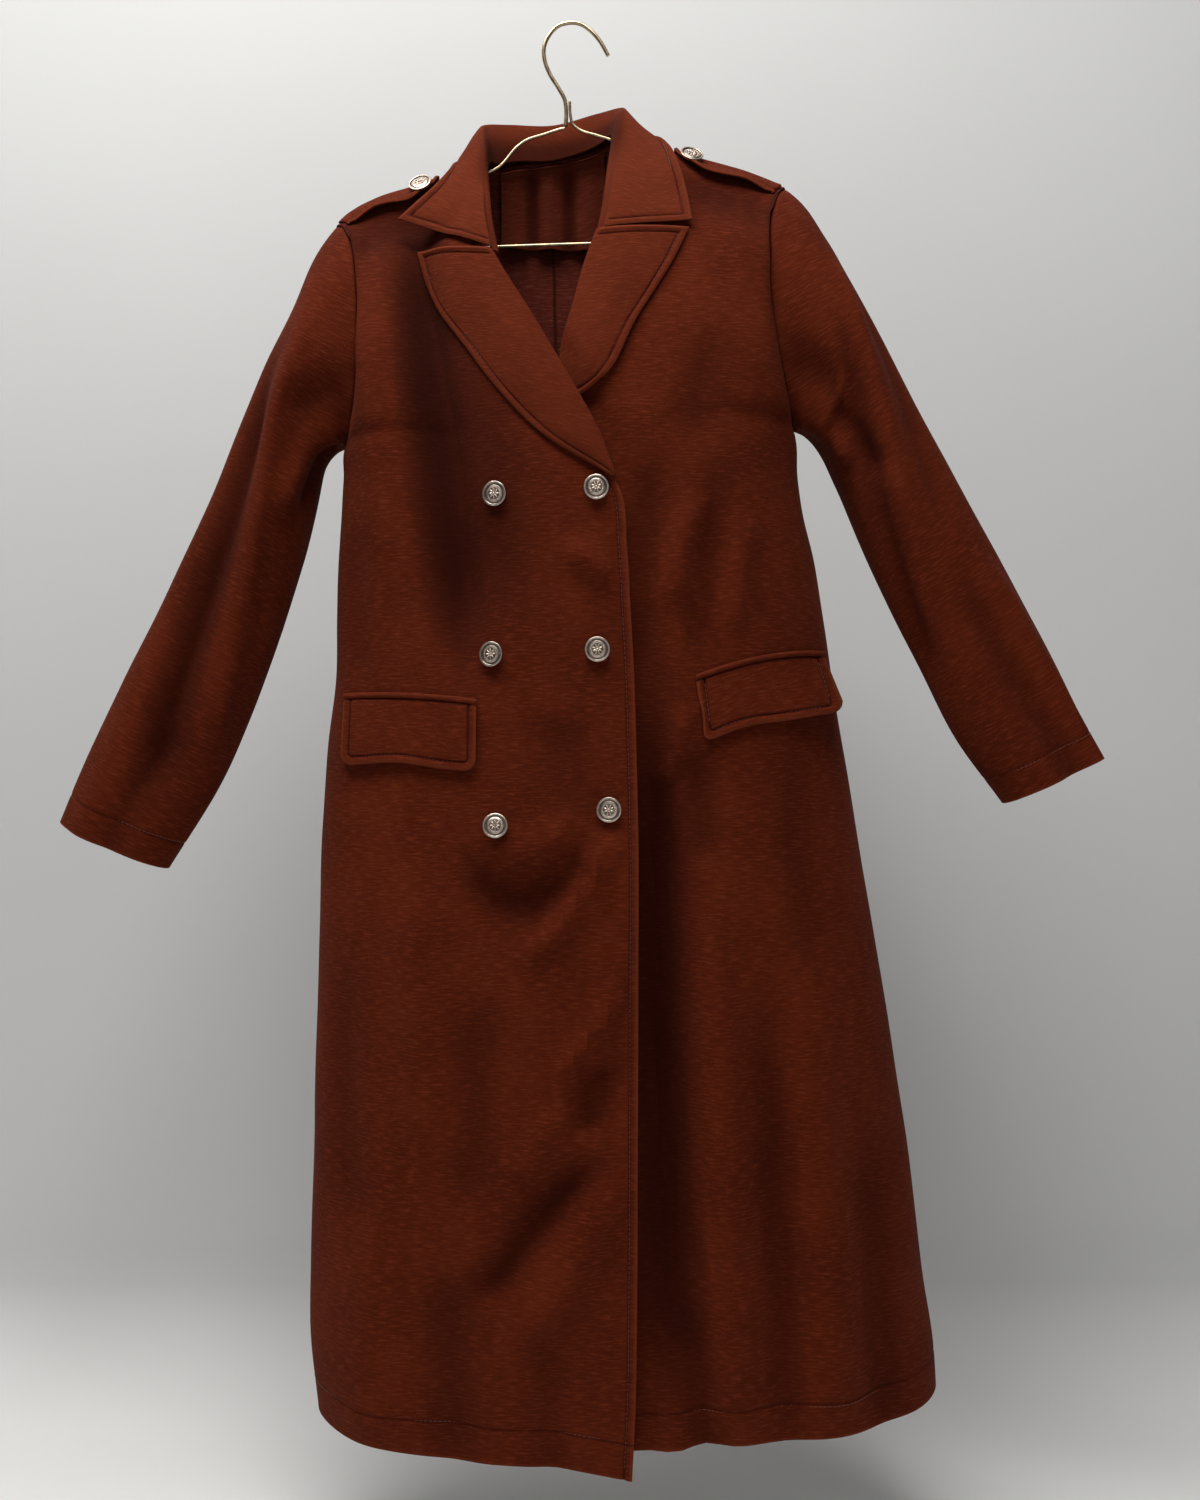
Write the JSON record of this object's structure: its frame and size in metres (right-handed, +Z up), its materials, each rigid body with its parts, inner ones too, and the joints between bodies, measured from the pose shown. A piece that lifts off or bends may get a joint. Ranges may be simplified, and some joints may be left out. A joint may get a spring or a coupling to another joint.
{
  "type": "long double-breasted coat on a wire clothes hanger",
  "caption": "Long felted double-breasted coat with peaked lapels, flap pockets and epaulettes, hung on a bent-wire hanger by its hook",
  "frame": {"origin": "the inside top of the hanger's hook, where it rests on a rail", "axes": "+Z up along the hanging coat, the coat faces -Y, the wearer's right is at -X"},
  "size_m": [0.972, 0.2425, 1.3172],
  "materials": {
    "coat_cloth": "matte felted coating with short slubs and light pilling, paler along worn edges",
    "facing_cloth": "smooth matte twill, darker than the coat",
    "button_metal": null,
    "hanger_wire": "satin gold-coloured wire"
  },
  "bodies": {
    "root": {"front_right": "coat_cloth", "front_left": "coat_cloth", "back_right": "coat_cloth", "back_left": "coat_cloth", "back_neck_facing": "facing_cloth", "sleeve_right": "coat_cloth", "sleeve_left": "coat_cloth", "collar": "coat_cloth", "lapel_right": "coat_cloth", "lapel_left": "coat_cloth", "pocket_welt_right": "coat_cloth", "pocket_flap_right": "coat_cloth", "pocket_welt_left": "coat_cloth", "pocket_flap_left": "coat_cloth", "epaulette_right": "coat_cloth", "epaulette_left": "coat_cloth", "button_top_right": "button_metal", "button_top_left": "button_metal", "button_middle_right": "button_metal", "button_middle_left": "button_metal", "button_bottom_right": "button_metal", "button_bottom_left": "button_metal", "button_strap_right": "button_metal", "button_strap_left": "button_metal", "hanger_hook": "hanger_wire", "hanger_frame": "hanger_wire"}
  },
  "joints": []
}
